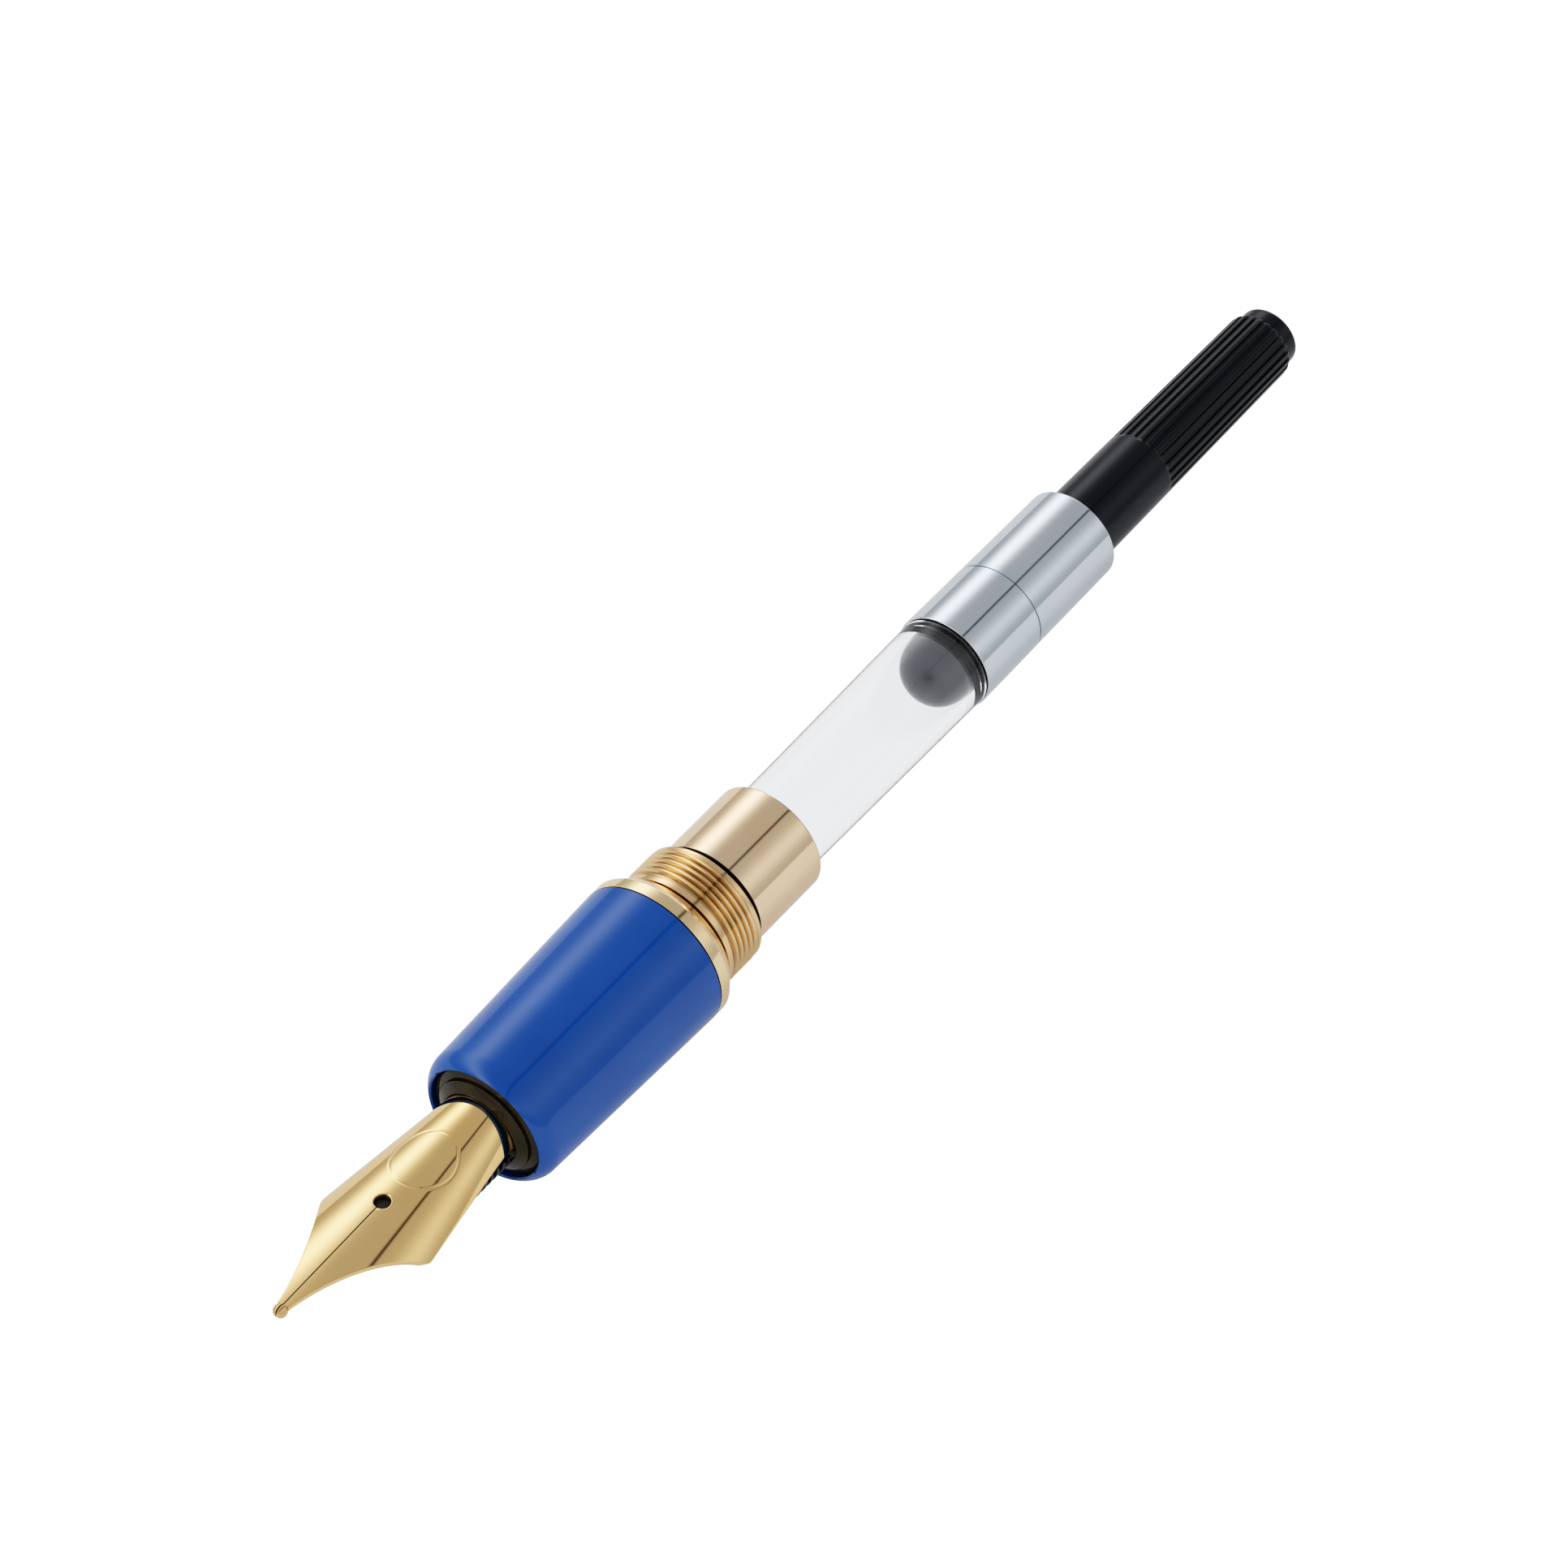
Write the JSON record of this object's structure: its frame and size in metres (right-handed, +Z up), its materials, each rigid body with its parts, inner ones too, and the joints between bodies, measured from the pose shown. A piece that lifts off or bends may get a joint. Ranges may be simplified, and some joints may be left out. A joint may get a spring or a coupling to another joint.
{
  "type": "fountain pen front section with screw converter",
  "caption": "Front section of a fountain pen: gold nib on a finned feed, round blue grip, threaded gold collar and sleeve, with a clear screw-piston ink converter pushed into its rear.",
  "frame": {"origin": "on the pen's axis, in the middle of the barrel thread", "axes": "+X along the pen's axis from the nib to the converter's knob, the way a barrel comes off; +Z up, the side that the nib's crown faces"},
  "size_m": [0.1134, 0.0116, 0.0116],
  "materials": {
    "nib_gold": "polished gold plate",
    "tipping_alloy": "ground and polished hard alloy",
    "feed_black": "matt moulded plastic",
    "housing_black": "glossy moulded plastic",
    "grip_blue": "glossy cobalt blue lacquer",
    "liner_brass": "plain turned brass",
    "trim_gold": "polished champagne gold plate",
    "sleeve_gold": "finely turned champagne gold plate",
    "tube_clear": "clear moulded plastic",
    "ferrule_chrome": "polished chrome plate",
    "core_grey": "matt moulded plastic",
    "guide_white": "matt moulded plastic",
    "dome_grey": "smooth dark grey rubber",
    "seal_black": "soft black rubber",
    "rod_white": "matt moulded plastic",
    "knob_black": "satin moulded plastic"
  },
  "bodies": {
    "section": {"nib": "nib_gold", "nib_tipping": "tipping_alloy", "feed": "feed_black", "nib_housing": "housing_black", "grip_shell": "grip_blue", "grip_liner": "liner_brass", "trim_ring": "trim_gold", "thread_bushing": "trim_gold", "socket_sleeve": "sleeve_gold"},
    "converter": {"reservoir": "tube_clear", "ferrule_front": "ferrule_chrome", "ferrule_rear": "ferrule_chrome", "ferrule_core": "core_grey", "rod_guide": "guide_white"},
    "piston": {"piston_head": "dome_grey", "piston_seal": "seal_black", "piston_rod": "rod_white"},
    "knob": {"drive_nut": "guide_white", "knob": "knob_black", "knob_end_plug": "knob_black"}
  },
  "joints": [
    {"name": "converter_pull", "type": "slide", "parent": "section", "child": "converter", "axis": [1, 0, 0], "range_m": [0, 0.016]},
    {"name": "knob_turn", "type": "hinge", "parent": "converter", "child": "knob", "pos_m": [0.05, 0, 0], "axis": [1, 0, 0], "range_deg": [0, 2880]},
    {"name": "piston_slide", "type": "slide", "parent": "converter", "child": "piston", "axis": [-1, 0, 0], "range_m": [0, 0.022]}
  ],
  "couplings": [
    {"joint": "knob_turn", "follows": "piston_slide", "rad_per_m": 2284.8}
  ]
}
